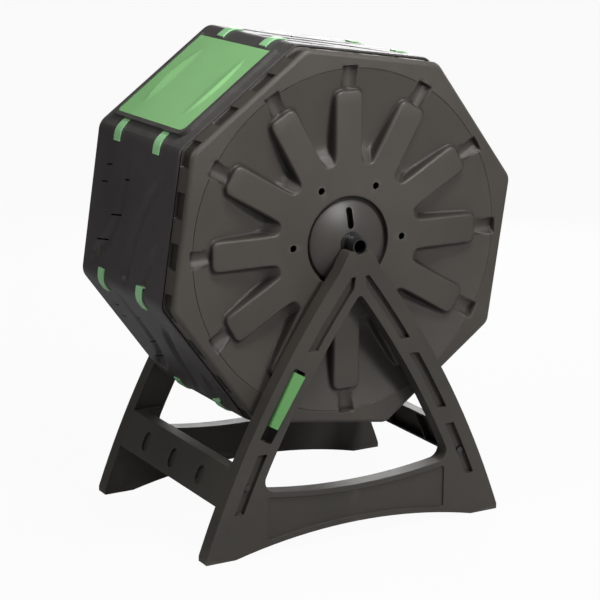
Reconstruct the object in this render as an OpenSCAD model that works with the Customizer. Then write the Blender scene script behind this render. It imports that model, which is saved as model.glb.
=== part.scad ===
// Compost tumbler: an octagonal drum on an axle between two A-frame stands.
// Units are millimetres. +Z is up, the axle runs along Y, the front is at -Y,
// and the origin is on the ground under the middle of the drum.

/* [Drum] */
// Width across the flats of an end panel's rim
rim_flats = 700; // [560:10:760]
// Height of the axle above the ground
axle_height = 568; // [540:2:640]
// Overall length of the drum along the axle
drum_length = 386; // [330:2:440]
// How far the flats lean clockwise from level, seen from the front
drum_turn = 8.4; // [0:0.1:14]
// Radius of the drum's long edges
edge_r = 26; // [12:1:40]
// Thickness of the moulded end panels
end_wall = 4; // [3:0.5:6]
// Depth of an end panel's rim along the axle
rim_depth = 60; // [50:1:66]
// How much of the front rim shows in front of the side panels
rim_show = 41; // [38:1:44]

/* [End panel face] */
// Number of spokes, and of notches
spoke_count = 12; // [12:12:12]
// Width of a spoke
spoke_w = 58; // [48:1:62]
// Distance from the axle to a spoke's tip
spoke_tip_r = 285; // [255:1:290]
// Radius of a spoke's two outer corners
spoke_corner_r = 14; // [6:1:18]
// Distance from the axle to the inner ends of the hollows between spokes
hollow_in_r = 150; // [140:1:158]
// Distance from the axle to the deepest line of the hollows
hollow_low_r = 188; // [176:1:200]
// Distance from the axle to the outer circle of the hollows
hollow_out_r = 326; // [322:1:330]
// Depth of the hollows
hollow_depth = 25; // [12:1:28]
// Distance from the axle to a notch's inner end
notch_in_r = 286; // [270:1:290]
// Distance from the axle to a notch's outer end
notch_out_r = 331; // [327:1:334]
// Depth of a notch
notch_depth = 12; // [9:0.5:14]
// Radius of a notch's round floor
notch_r = 17; // [14:0.5:20]
// Diameter of an air hole
air_hole_d = 14; // [8:0.5:16]
// Distance from the axle to the air holes
air_hole_pitch_r = 118; // [110:1:125]

/* [Rim pockets] */
// Length of a pocket along the side
pocket_w = 48; // [36:1:54]
// Distance between a side's two pocket centres
pocket_pitch = 93; // [80:1:98]
// Length of a pocket along the axle
pocket_h = 30; // [20:1:33]
// Depth of a pocket
pocket_depth = 2.5; // [1:0.5:3]

/* [Side panels] */
// Thickness of a side panel
side_wall = 4; // [3:0.5:5]
// Gap between the rim and the side panels around it
side_gap = 1; // [0.3:0.1:2]
// Gap between neighbouring side panels
mitre_gap = 0.4; // [0.2:0.1:1]
// Depth of a side panel's stiffening flange
flange_depth = 14; // [8:1:18]
// Thickness of the flange
flange_t = 3; // [2:0.5:4]
// Width of a slit vent
slit_w = 3; // [2:0.5:4]
// Depth of a flute
flute_depth = 8; // [4:0.5:10]
// Length of a flute
flute_length = 196; // [150:2:210]
// Radius of a flute's round cross-section
flute_r = 20; // [14:1:26]
// Lean of the flutes
flute_lean = 20; // [0:1:24]

/* [Clips] */
// Width of a clip
clip_w = 25; // [18:1:30]
// Thickness of a clip
clip_t = 3; // [2:0.5:3]
// Length of a clip's leg from the drum's edge
clip_leg = 24; // [20:1:26]
// Distance between the two clips of an edge
clip_pitch = 168; // [150:2:180]

/* [Door] */
// Width of the door along the axle
door_w = 288; // [240:2:296]
// Length of the door along the side
door_l = 230; // [200:2:234]
// Thickness of the door
door_t = 3; // [2.5:0.5:3.5]
// Radius of the door's two lower corners
door_corner_r = 18; // [8:1:24]
// How far the door laps over the opening
door_lap = 14; // [10:1:18]
// How far the door slides
door_travel = 200; // [120:5:200]
// Distance from the lower clips up to the door's lower edge
door_low = 5; // [4.8:0.1:8]
// Width of the raised rail outside the door's edge
rail_w = 7; // [5:0.5:9]
// Thickness of the lip over the door's edge
lip_t = 1.8; // [1.2:0.1:3]
// How far the lip reaches over the door
lip_reach = 4; // [2:0.5:6]
// Height of the door's swells
swell_h = 7; // [4:0.5:9]
// Length of a swell
swell_length = 164; // [120:2:180]

/* [Axle and hubs] */
// Outer diameter of the axle tube
axle_d = 30; // [24:0.5:32]
// Wall of the axle tube
axle_wall = 2.5; // [1.5:0.25:4]
// Radius of the round recess in the end panel
recess_r = 87; // [84:1:92]
// Depth of the recess
recess_depth = 12; // [8:0.5:16]
// Radius of the hub
hub_r = 80; // [76:1:82]
// How far the hub's middle stands in front of the end panel
hub_rise = 11; // [10:0.5:11]
// How far the hub's edge lies behind the end panel's face
hub_edge_drop = 6; // [4:0.5:8]
// Wall of the hub
hub_wall = 3.5; // [3:0.5:5]
// Outer diameter of the hub's boss around the axle
boss_d = 42; // [38:1:50]
// Diameter of the cross pins
pin_d = 6; // [4:0.5:8]
// Outer diameter of the washers
washer_d = 46; // [42:1:52]
// Thickness of the washers
washer_t = 2; // [1.5:0.1:2]

/* [Stands] */
// Gap between the drum's ends and the stands
stand_gap = 14; // [14:0.5:18]
// Thickness of a stand
stand_t = 32; // [26:1:36]
// Half of a stand's width at the ground
foot_half = 325; // [290:5:380]
// Half of a stand's width at its shoulders
shoulder_half = 42; // [38:1:46]
// Distance from the axle down to the shoulders
shoulder_drop = 41; // [36:1:48]
// How far a leg bows outwards
leg_bow = 23; // [10:1:30]
// Width of a leg
leg_w = 62; // [58:1:70]
// Rise of the arch under the cross beam
arch_rise = 31; // [15:1:40]
// Length of each foot's flat
foot_flat = 62; // [40:2:80]
// Height of the cross beam's top edge at the middle
beam_top = 106; // [90:1:130]
// How much the beam's top edge dips
beam_dip = 18; // [8:1:24]
// Half of the saddle's width at its top edge
saddle_half = 26; // [24:1:30]
// Distance from the axle down to the saddle's top edge
saddle_drop = 8; // [6:0.5:10]
// Depth of the moulded pockets
mould_depth = 10; // [5:0.5:12]
// Width of the moulded pockets
mould_w = 18; // [16:1:20]

/* [Braces] */
// Height of a brace's lower edge
brace_low = 100; // [90:2:110]
// Height of a brace's upper edge
brace_high = 170; // [160:2:180]
// Thickness of a brace
brace_t = 22; // [16:1:26]
// Outer wall of a brace
brace_wall = 8; // [6:0.5:10]
// Distance between the oval recesses
oval_pitch = 115; // [90:1:120]
// Diameter of the brace bolts
bolt_d = 8; // [6:1:8]

/* [Drum lock] */
// Clock position of the lock, as degrees from straight down to the left
lock_angle = 30; // [30:30:30]
// Distance from the axle to the lever's upper end
lock_in_r = 262; // [258:1:266]
// Distance from the axle to the lever's lower end
lock_out_r = 372; // [370:1:376]
// Width of the lever's upper end
lock_wide = 25; // [22:0.5:25]
// Width of the lever's lower end
lock_narrow = 18; // [16:0.5:20]
// Thickness of the lever
lock_t = 14; // [12:0.5:14]
// How far the lever stands in front of the leg
lock_proud = 5; // [3:0.5:6]
// Width of the slot in the leg
lock_slot_w = 27; // [26.6:0.2:28]

/* [Hidden] */
$fn = 64;
eps = 0.01;
running_fit = 0.06;
free_fit = 0.3;

SIDES = 8;
side_step = 360 / SIDES;
half_step = side_step / 2;
half_length = drum_length / 2;
apothem = rim_flats / 2;
// The side panels lie around the rims
side_in_flats = rim_flats + 2 * side_gap;
side_out_flats = side_in_flats + 2 * side_wall;
side_out = side_out_flats / 2;
side_front = half_length - rim_show;
side_mid = (side_front - half_length) / 2;
side_half = side_out * tan(half_step);
inner_half = half_length - rim_depth;

clip_gap = 0.1;
clip_in_flats = side_out_flats + 2 * clip_gap;
clip_out_flats = clip_in_flats + 2 * clip_t;
clip_top = clip_out_flats / 2;
hook_t = 3;
hook_depth = 10;
hook_place = side_half - clip_leg + hook_t / 2;

door_under = clip_top + free_fit;
door_out = door_under + door_t;
door_gap = 0.4;
groove_top = door_out + door_gap;
rail_top = groove_top + lip_t;
lip_end = side_half - clip_leg - free_fit;
rail_end = lip_end - 2;
pad_w = 16;
top_band = 23;
door_foot = side_half - clip_leg - door_low;
opening_high = rail_end - top_band;
opening_low = door_foot - door_lap;
swell_inset = 52;
swell_place = door_w / 2 - swell_inset;

axle_r = axle_d / 2;
stand_in = half_length + stand_gap;
stand_out = stand_in + stand_t;
axle_end_depth = 4;
axle_half = stand_out - axle_end_depth;
hub_front = half_length + hub_rise;
recess_floor = half_length - recess_depth;
hub_edge = half_length - hub_edge_drop;
dome_h = hub_front - hub_edge;
dome_r = (hub_r * hub_r + dome_h * dome_h) / (2 * dome_h);
boss_depth = 31;
boss_back = recess_floor - boss_depth;
washer_sink = 0.6;
pin_place = (boss_back + recess_floor) / 2;
hub_screw_pitch_r = 60;
hub_screw_r = 2;
hub_post_r = hub_screw_r + 5;
screw_head_r = 4.5;
screw_head_h = 4;
screw_in_post = 4;

shoulder_z = axle_height - shoulder_drop;
foot_z = 10;
leg_chord = norm([foot_half - shoulder_half, shoulder_z - foot_z]);
leg_r = leg_chord * leg_chord / (8 * leg_bow) + leg_bow / 2;
leg_back = leg_r - leg_bow;
leg_cx = (foot_half + shoulder_half) / 2 - leg_back * (shoulder_z - foot_z) / leg_chord;
leg_cz = (shoulder_z + foot_z) / 2 - leg_back * (foot_half - shoulder_half) / leg_chord;
neck_lap = 6;
neck_half = leg_x(shoulder_z - neck_lap, 0) - 0.5;
arch_half = foot_half - foot_flat;
arch_r = (arch_half * arch_half + arch_rise * arch_rise) / (2 * arch_rise);
beam_half = 205;
beam_r = (beam_half * beam_half + beam_dip * beam_dip) / (2 * beam_dip);
mould_inset = 27;
web_half = shoulder_half / 4;
big_fn = 256;

brace_mid = (brace_low + brace_high) / 2;
bolt_inset = mould_inset + mould_w / 2;
bolt_z = brace_mid;
bolt_head_r = 6.5;
bolt_head_h = 5;
nut_r = 7.5;
nut_h = 6.5;
flange_plate = 8;
flange_reach = 58;

tooth_place = 308;
tooth_l = 20;
tooth_w = 10;
tooth_clear = 3.5;
lock_pivot_r = lock_out_r - 12;
lock_front = stand_out + lock_proud;
lock_back = lock_front - lock_t;
lock_pivot_z = lock_back - 2;
lock_boss_r = 9;
lock_slot_in = lock_in_r - 7;
lock_slot_out = lock_out_r + 30;
lock_pin_r = 3;
lock_pin_l = 42;

// Places its children on the axle, with their +z towards the front.
module on_axle() {
  translate([0, 0, axle_height]) rotate([90, 0, 0]) children();
}

// The frame of one side: x outwards, y anticlockwise along the side, z to the front.
// Side 0 is the top one and the count runs clockwise.
module on_side(k) {
  on_axle() rotate(90 - side_step * k - drum_turn) children();
}

// An octagon with rounded corners, its first flat facing +x.
module rounded_octagon(flats, r) {
  steps = 6;
  corner = (flats / 2 - r) / cos(half_step);
  polygon([
    for (k = [0 : SIDES - 1])
      for (j = [0 : steps])
        let (middle = half_step + side_step * k)
        let (turn = side_step * (k + j / steps))
        [corner * cos(middle) + r * cos(turn), corner * sin(middle) + r * sin(turn)]
  ]);
}

// A ring between two rounded octagons.
module octagon_ring(out_flats, in_flats, r) {
  difference() {
    rounded_octagon(out_flats, r + (out_flats - rim_flats) / 2);
    rounded_octagon(in_flats, r + (in_flats - rim_flats) / 2);
  }
}

// A slot with round ends along y.
module stadium(l, w) {
  square([w, l - w], center = true);
  for (end = [-1, 1]) translate([0, end * (l - w) / 2]) circle(d = w);
}

// ---- End panels ----

// The spokes, seen from the front, grown by a margin.
module spoke_outline(grow) {
  w = spoke_w + 2 * grow;
  tip = spoke_tip_r + grow;
  for (k = [0 : spoke_count - 1]) rotate(360 / spoke_count * k) {
    translate([0, -w / 2]) square([tip - spoke_corner_r, w]);
    translate([0, spoke_corner_r - w / 2]) square([tip, w - 2 * spoke_corner_r]);
    for (s = [-1, 1])
      translate([tip - spoke_corner_r, s * (w / 2 - spoke_corner_r)]) circle(r = spoke_corner_r);
  }
}

// The ground around the spokes, which is deepest near the hub, moved down by drop.
module hollow_ground(drop, grow, top) {
  rotate_extrude($fn = 128) polygon([
    [hollow_in_r - grow, half_length - drop],
    [hollow_low_r, half_length - hollow_depth - drop],
    [hollow_out_r + grow, half_length - drop],
    [hollow_out_r + grow, half_length + top],
    [hollow_in_r - grow, half_length + top]
  ]);
}

// The hollows between the spokes.
module hollows(drop, grow, top) {
  low = half_length - hollow_depth - drop - 1;
  difference() {
    hollow_ground(drop, grow, top);
    translate([0, 0, low]) linear_extrude(hollow_depth + drop + 3) spoke_outline(-grow);
  }
}

// The scoops at the spokes' tips that the drum lock drops into.
module notches(grow) {
  length = notch_out_r - notch_in_r + 2 * grow;
  for (k = [0 : spoke_count - 1])
    rotate(360 / spoke_count * k)
      translate([notch_in_r - grow, 0, half_length - notch_depth + notch_r])
        rotate([0, 90, 0]) cylinder(r = notch_r + grow, h = length);
}

// One rim pocket's cutter: a block that bites into the rim's flat.
module rim_pocket(l) {
  translate([apothem - pocket_depth, -l / 2, half_length - end_wall - pocket_h])
    cube([pocket_depth + 1, l, pocket_h]);
}

// All the rim's pockets: two on each side, and one around each corner.
module rim_pockets() {
  corner_start = 3 * pocket_pitch / 2 - pocket_w / 2;
  corner_l = 2 * apothem * tan(half_step) / 2 - corner_start;
  for (k = [0 : SIDES - 1]) rotate(side_step * k) {
    for (s = [-1, 1]) {
      translate([0, s * pocket_pitch / 2, 0]) rim_pocket(pocket_w);
      translate([0, s * (corner_start + corner_l / 2), 0]) rim_pocket(corner_l);
    }
  }
}

module end_panel() {
  difference() {
    union() {
      rotate(90 - drum_turn) {
        translate([0, 0, inner_half]) linear_extrude(rim_depth)
          octagon_ring(rim_flats, rim_flats - 2 * end_wall, edge_r);
        translate([0, 0, half_length - end_wall]) linear_extrude(end_wall)
          rounded_octagon(rim_flats, edge_r);
      }
      hollows(end_wall, end_wall, 0);
      intersection() {
        notches(end_wall);
        translate([0, 0, half_length - apothem]) cube([rim_flats, rim_flats, rim_flats], center = true);
      }
      translate([0, 0, recess_floor - end_wall])
        cylinder(r = recess_r + end_wall, h = recess_depth + end_wall, $fn = 128);
    }
    hollows(0, 0, 1);
    notches(0);
    rotate(90 - drum_turn) rim_pockets();
    translate([0, 0, recess_floor]) cylinder(r = recess_r, h = recess_depth + 1, $fn = 128);
    translate([0, 0, recess_floor - end_wall - 1])
      cylinder(r = boss_d / 2 + 1, h = end_wall + 2);
    for (k = [0 : 5]) rotate(60 * k)
      translate([air_hole_pitch_r, 0, half_length - end_wall - 1])
        cylinder(d = air_hole_d, h = end_wall + 2);
    hub_screw_places() translate([0, 0, recess_floor - end_wall - 1])
      cylinder(r = hub_screw_r + free_fit, h = end_wall + 2);
  }
}

module front_end_panel() { color([0.28, 0.27, 0.25]) on_axle() end_panel(); }
module rear_end_panel() { color([0.28, 0.27, 0.25]) on_axle() mirror([0, 0, 1]) end_panel(); }

// ---- Hubs, axle and what joins them ----

module hub_screw_places() {
  for (k = [0 : 3]) rotate(45 + 90 * k) translate([hub_screw_pitch_r, 0, 0]) children();
}

// The hub's solid shape from a given depth forwards, shrunk by a wall's thickness.
module hub_shape(low, wall) {
  dome_steps = 12;
  rotate_extrude($fn = 128) polygon([
    [0, low],
    [hub_r - wall, low],
    for (k = [dome_steps : -1 : 0])
      let (x = (hub_r - wall) * k / dome_steps)
      [x, hub_front - dome_r + sqrt(pow(dome_r - wall, 2) - x * x)]
  ]);
}

module hub() {
  screw_hole = screw_in_post + 1;
  slot_w = 13;
  slot_in = axle_r + 12;
  slot_out = hub_r - 13;
  difference() {
    union() {
      difference() {
        hub_shape(recess_floor, 0);
        hub_shape(recess_floor - 1, hub_wall);
      }
      translate([0, 0, boss_back]) cylinder(d = boss_d, h = hub_front - 2 - boss_back);
      intersection() {
        hub_shape(recess_floor, 0);
        hub_screw_places() translate([0, 0, recess_floor])
          cylinder(r = hub_post_r, h = hub_front - recess_floor);
      }
    }
    translate([0, 0, boss_back - 1]) cylinder(r = axle_r + running_fit, h = hub_front - boss_back + 2);
    translate([0, 0, hub_front - washer_sink]) cylinder(d = washer_d + 1, h = 2);
    translate([slot_w / -2, slot_in, recess_floor])
      cube([slot_w, slot_out - slot_in, hub_front - recess_floor]);
    translate([0, 0, pin_place]) rotate([90, 0, 0])
      cylinder(r = pin_d / 2 + running_fit, h = boss_d + 2, center = true);
    hub_screw_places() translate([0, 0, recess_floor - 1])
      cylinder(r = hub_screw_r + running_fit, h = screw_hole + 1);
  }
}

module hub_screws() {
  hub_screw_places() {
    translate([0, 0, recess_floor - end_wall - screw_head_h])
      cylinder(r = screw_head_r, h = screw_head_h);
    translate([0, 0, recess_floor - end_wall]) cylinder(r = hub_screw_r, h = end_wall + screw_in_post);
  }
}

module washer() {
  translate([0, 0, hub_front - washer_sink]) difference() {
    cylinder(d = washer_d, h = washer_t);
    translate([0, 0, -1]) cylinder(r = axle_r + running_fit, h = washer_t + 2);
  }
}

module front_hub() { color([0.30, 0.29, 0.28]) on_axle() hub(); }
module rear_hub() { color([0.30, 0.29, 0.28]) on_axle() mirror([0, 0, 1]) hub(); }
module front_hub_screws() { color("silver") on_axle() hub_screws(); }
module rear_hub_screws() { color("silver") on_axle() mirror([0, 0, 1]) hub_screws(); }
module front_washer() { color("silver") on_axle() washer(); }
module rear_washer() { color("silver") on_axle() mirror([0, 0, 1]) washer(); }

module axle_tube() {
  color("silver") on_axle() difference() {
    cylinder(r = axle_r, h = 2 * axle_half, center = true);
    cylinder(r = axle_r - axle_wall, h = 2 * axle_half + 2, center = true);
    for (end = [-1, 1]) translate([0, 0, end * pin_place]) rotate([90, 0, 0])
      cylinder(r = pin_d / 2 + running_fit, h = axle_d + 2, center = true);
  }
}

module axle_pins() {
  color("silver") on_axle() for (end = [-1, 1]) translate([0, 0, end * pin_place])
    rotate([90, 0, 0]) cylinder(d = pin_d, h = boss_d, center = true);
}

// ---- Side panels ----

// The middle wedge of one side, seen along the axle.
module side_wedge() {
  reach = side_out_flats;
  spread = tan(half_step);
  shift = mitre_gap / 2 / sin(half_step);
  polygon([
    [shift, 0],
    [reach, (reach - shift) * spread],
    [reach, (shift - reach) * spread]
  ]);
}

// The clips' slots in a side panel.
module clip_slots() {
  for (s = [-1, 1]) for (z = [-1, 1])
    translate([side_out, s * hook_place, side_mid + z * clip_pitch / 2])
      cube([2 * flange_depth, hook_t + 2 * free_fit, clip_w + 2 * free_fit], center = true);
}

// A side panel before its vents, flutes or opening.
module side_blank() {
  flange_end = inner_half - 1.5;
  translate([0, 0, -half_length]) linear_extrude(side_front + half_length) intersection() {
    octagon_ring(side_out_flats, side_in_flats, edge_r);
    side_wedge();
  }
  translate([0, 0, -flange_end]) linear_extrude(2 * flange_end)
    for (s = [-1, 1]) side_flange(s);
}

// One stiffening flange along the mitre, seen along the axle.
module side_flange(s) {
  middle = side_in_flats / 2 / cos(half_step);
  rotate(s * half_step)
    translate([middle - flange_depth, s > 0 ? -mitre_gap / 2 - flange_t : mitre_gap / 2])
      square([flange_depth, flange_t]);
}

// The slit vents: distance along the side, distance along the axle, length.
SLITS = [[-75, -120, 24], [-40, -130, 26], [-58, -30, 26], [14, -75, 38], [70, -118, 38]];
slit_turn = 8;

module slits() {
  for (place = SLITS)
    translate([side_out, place[0], place[1]]) rotate([slit_turn, 0, 0])
      cube([3 * side_wall, slit_w, place[2]], center = true);
}

// A long round-bottomed groove that runs out at both ends.
module flute(deep, r, l, grow) {
  sweep_r = l * l / 8 / deep;
  half_turn = asin(l / 2 / sweep_r) + 1;
  translate([sweep_r + r - deep, 0, 0]) rotate([0, 0, 180 - half_turn])
    rotate_extrude(angle = 2 * half_turn, $fn = 360)
      translate([sweep_r, 0]) circle(r = r + grow, $fn = 48);
}

// Where a side's flutes lie along the axle.
FLUTES = [-62, 48];
// How far the flutes' backs stay from the side's edges, clear of the flanges.
flange_clear = 20;
flute_room = side_half - flange_clear;

module flutes(grow) {
  for (place = FLUTES) translate([side_out, 0, place]) rotate([flute_lean, 0, 0])
    flute(flute_depth, flute_r, flute_length, grow);
}

module side_panel(k) {
  color([0.20, 0.19, 0.20]) on_side(k) difference() {
    union() {
      side_blank();
      intersection() {
        flutes(side_wall - 0.5);
        translate([side_out - flute_depth - side_wall, -flute_room, -inner_half + 2])
          cube([flute_depth + side_wall - 0.5, 2 * flute_room, 2 * inner_half - 4]);
      }
    }
    flutes(0);
    slits();
    clip_slots();
  }
}

// ---- Door and its frame ----

// The door's outline. Its lower edge is at +y, its middle on the panel's middle.
module door_outline(grow) {
  w = door_w + 2 * grow;
  l = door_l + 2 * grow;
  r = door_corner_r + grow;
  translate([-w / 2, door_foot - door_l - grow]) square([w, l - r]);
  translate([-w / 2 + r, door_foot + grow - r - eps]) square([w - 2 * r, r + eps]);
  for (s = [-1, 1]) translate([s * (w / 2 - r), door_foot + grow - r]) circle(r = r);
}

// The part of the side plane that the rails may fill, between the clips.
module rail_area() {
  translate([-door_w, -rail_end]) square([2 * door_w, rail_end + lip_end]);
}

module door_opening() {
  translate([-door_w / 2 + door_lap, -opening_high])
    square([door_w - 2 * door_lap, opening_high + opening_low]);
}

module door_frame() {
  color([0.22, 0.21, 0.21]) on_side(7) difference() {
    union() {
      side_blank();
      side_plate(side_out - eps, door_under - free_fit) intersection() {
        door_outline(rail_w);
        translate([-door_w, -opening_high - pad_w]) square([2 * door_w, opening_high + pad_w + lip_end]);
      }
      side_plate(side_out, groove_top) difference() {
        intersection() { door_outline(rail_w); rail_area(); }
        door_channel(door_gap);
      }
      side_plate(groove_top - eps, rail_top) difference() {
        intersection() { door_outline(rail_w); rail_area(); }
        door_channel(-lip_reach);
      }
    }
    side_plate(side_out - flange_depth, rail_top + 1) door_opening();
    clip_slots();
  }
}

// The door's outline made endless upwards, as its channel in the rails is.
module door_channel(grow) {
  door_outline(grow);
  translate([-door_w / 2 - grow, -2 * door_l]) square([door_w + 2 * grow, 2 * door_l]);
}

// A slab of the side, from low to high above the axle: outline x runs along the
// axle towards the front and outline y runs down the side.
module side_plate(low, high) {
  translate([high, 0, side_mid]) rotate([0, -90, 0]) linear_extrude(high - low) children();
}

module swell(deep, r, l, grow) {
  sweep_r = l * l / 8 / deep;
  half_turn = asin(l / 2 / sweep_r) + 1;
  translate([deep - r - sweep_r, 0, 0]) rotate([0, 0, -half_turn])
    rotate_extrude(angle = 2 * half_turn, $fn = 360)
      translate([sweep_r, 0]) circle(r = r + grow, $fn = 48);
}

module swells(grow) {
  for (s = [-1, 1]) translate([door_out, 0, side_mid + s * swell_place])
    swell(swell_h, flute_r, swell_length, grow);
}

module door() {
  shell = door_t - 0.5;
  color([0.50, 0.77, 0.47]) on_side(7) difference() {
    union() {
      side_plate(door_under, door_out) door_outline(0);
      intersection() {
        swells(0);
        side_plate(door_under, door_out + swell_h + 1) door_outline(0);
      }
    }
    intersection() {
      swells(-shell);
      side_plate(door_under - 1, door_out + swell_h) door_outline(0);
    }
  }
}

// ---- Clips ----

module clip() {
  leg_end = side_half - clip_leg;
  translate([0, 0, -clip_w / 2]) linear_extrude(clip_w) {
    intersection() {
      octagon_ring(clip_out_flats, clip_in_flats, edge_r);
      translate([0, leg_end]) square(clip_out_flats / 2);
      rotate(side_step) translate([0, -leg_end]) mirror([0, 1]) square(clip_out_flats / 2);
    }
    translate([side_out - hook_depth, hook_place - hook_t / 2]) square([hook_depth + 1, hook_t]);
    rotate(side_step) translate([side_out - hook_depth, -hook_place - hook_t / 2])
      square([hook_depth + 1, hook_t]);
  }
}

module clip_pair(k) {
  color([0.60, 0.86, 0.60]) on_side(k) for (z = [-1, 1])
    translate([0, 0, side_mid + z * clip_pitch / 2]) clip();
}

// ---- Stands ----

// Where a line at a given inset from a leg's outer edge lies at height z.
function leg_x(z, inset) = leg_cx + sqrt(pow(leg_r - inset, 2) - pow(z - leg_cz, 2));

// The space between the two legs' lines at a given inset.
module between_legs(inset) {
  intersection_for (s = [-1, 1])
    translate([s * leg_cx, leg_cz]) circle(r = leg_r - inset, $fn = big_fn);
}

module stand_outline() {
  difference() {
    intersection() {
      between_legs(0);
      translate([-foot_half, 0]) square([2 * foot_half, shoulder_z]);
    }
    translate([0, arch_rise - arch_r]) circle(r = arch_r, $fn = big_fn);
    intersection() {
      between_legs(leg_w);
      translate([0, beam_top + beam_r]) circle(r = beam_r, $fn = big_fn);
    }
  }
  polygon([
    [-neck_half, shoulder_z - neck_lap],
    [neck_half, shoulder_z - neck_lap],
    [saddle_half, axle_height - saddle_drop],
    [-saddle_half, axle_height - saddle_drop]
  ]);
}

// One moulded leg pocket between two heights, on the right leg.
module leg_pocket(low, high) {
  intersection() {
    difference() {
      between_legs(mould_inset);
      between_legs(mould_inset + mould_w);
    }
    translate([web_half, low]) square([2 * foot_half, high - low]);
  }
}

module stand(has_lock) {
  leg_pockets = [[86, 196], [230, 349], [380, 512]];
  beam_field_half = 197;
  beam_border = 11;
  beam_field_depth = 4;
  difference() {
    translate([0, 0, stand_in]) linear_extrude(stand_t) translate([0, -axle_height]) stand_outline();
    translate([0, 0, stand_in - 1]) cylinder(r = axle_r + running_fit, h = stand_t + 2);
    translate([0, 0, stand_out - mould_depth]) linear_extrude(mould_depth + 1)
      translate([0, -axle_height]) for (s = [0, 1]) for (j = [0 : 2])
        if (!(has_lock && s == 1 && j == 1))
          mirror([s, 0]) leg_pocket(leg_pockets[j][0], leg_pockets[j][1]);
    translate([0, 0, stand_out - beam_field_depth]) linear_extrude(beam_field_depth + 1)
      translate([0, -axle_height]) difference() {
        translate([-beam_field_half, 0]) square([2 * beam_field_half, beam_top]);
        translate([0, arch_rise + beam_border - arch_r]) circle(r = arch_r, $fn = big_fn);
        translate([0, beam_top - beam_border + beam_r]) circle(r = beam_r, $fn = big_fn);
      }
    for (s = [-1, 1])
      translate([s * leg_x(bolt_z, bolt_inset), bolt_z - axle_height, stand_in - 1])
        cylinder(r = bolt_d / 2 + free_fit, h = stand_t + 2);
    if (has_lock) on_lock() {
      translate([lock_slot_in, -lock_slot_w / 2, stand_in - 1])
        cube([lock_slot_out - lock_slot_in, lock_slot_w, stand_t + 2]);
      translate([lock_pivot_r, 0, lock_pivot_z]) rotate([90, 0, 0])
        cylinder(r = lock_pin_r + running_fit, h = lock_pin_l + 2, center = true);
    }
  }
}

module front_stand() { color([0.29, 0.29, 0.27]) on_axle() stand(true); }
module rear_stand() { color([0.25, 0.25, 0.24]) rotate(180) on_axle() stand(false); }

// ---- Braces ----

// A brace's upright section, seen along the axle, on the right.
module brace_line(inset_a, inset_b, low, high) {
  top = leg_x(brace_high, 0);
  bottom = leg_x(brace_low, 0);
  slope = (top - bottom) / (brace_high - brace_low);
  polygon([
    [bottom + slope * (low - brace_low) - inset_a, low],
    [bottom + slope * (high - brace_low) - inset_a, high],
    [bottom + slope * (high - brace_low) - inset_b, high],
    [bottom + slope * (low - brace_low) - inset_b, low]
  ]);
}

module brace() {
  rib = 5;
  oval_l = 38;
  oval_w = 25;
  oval_depth = 4;
  oval_bow = 1.3;
  oval_drop = 3;
  lean = atan2(leg_x(brace_low, 0) - leg_x(brace_high, 0), brace_high - brace_low);
  cell = (2 * stand_in - 2 * flange_plate - 4 * rib) / 3;
  difference() {
    union() {
      rotate([90, 0, 0]) translate([0, 0, -stand_in]) linear_extrude(2 * stand_in)
        brace_line(0, brace_t, brace_low, brace_high);
      for (s = [0, 1]) mirror([0, s, 0])
        rotate([90, 0, 0]) translate([0, 0, stand_in - flange_plate]) linear_extrude(flange_plate)
          brace_line(0, flange_reach, brace_low, brace_high);
    }
    for (k = [-1 : 1]) translate([0, k * (cell + rib), 0]) {
      rotate([90, 0, 0]) translate([0, 0, -cell / 2]) linear_extrude(cell)
        brace_line(brace_wall, brace_t + 1, brace_low + rib, brace_high - rib);
    }
    for (k = [-1 : 1])
      translate([leg_x(brace_mid, 0), k * oval_pitch, brace_mid - oval_drop]) rotate([0, -lean, 0])
        translate([-oval_depth - oval_bow, 0, 0]) rotate([90, 0, 90]) linear_extrude(brace_t)
          stadium(oval_l, oval_w);
    for (s = [-1, 1]) translate([leg_x(bolt_z, bolt_inset), s * stand_in, bolt_z])
      rotate([90, 0, 0]) cylinder(r = bolt_d / 2 + free_fit, h = 3 * flange_plate, center = true);
  }
}

module right_brace() { color([0.24, 0.23, 0.22]) brace(); }
module left_brace() { color([0.24, 0.23, 0.22]) mirror([1, 0, 0]) brace(); }

// Each bolt's place: its children's +z points out of the leg.
module bolt_places() {
  for (turn = [0, 180]) rotate(turn) for (s = [-1, 1])
    translate([s * leg_x(bolt_z, bolt_inset), 0, bolt_z]) rotate([90, 0, 0]) children();
}

module brace_bolts() {
  shank_end = 2;
  shank_in = stand_in - flange_plate - nut_h - shank_end;
  color("silver") bolt_places() {
    translate([0, 0, stand_out - mould_depth]) cylinder(r = bolt_head_r, h = bolt_head_h, $fn = 6);
    translate([0, 0, shank_in]) cylinder(d = bolt_d, h = stand_out - mould_depth - shank_in);
  }
}

module brace_nuts() {
  color("silver") bolt_places() translate([0, 0, stand_in - flange_plate - nut_h]) difference() {
    cylinder(r = nut_r, h = nut_h, $fn = 6);
    translate([0, 0, -1]) cylinder(r = bolt_d / 2 + running_fit, h = nut_h + 2);
  }
}

// ---- Drum lock ----

// The lock's frame: x away from the axle along the leg, z to the front.
module on_lock() {
  rotate(-90 - lock_angle) children();
}

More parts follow.
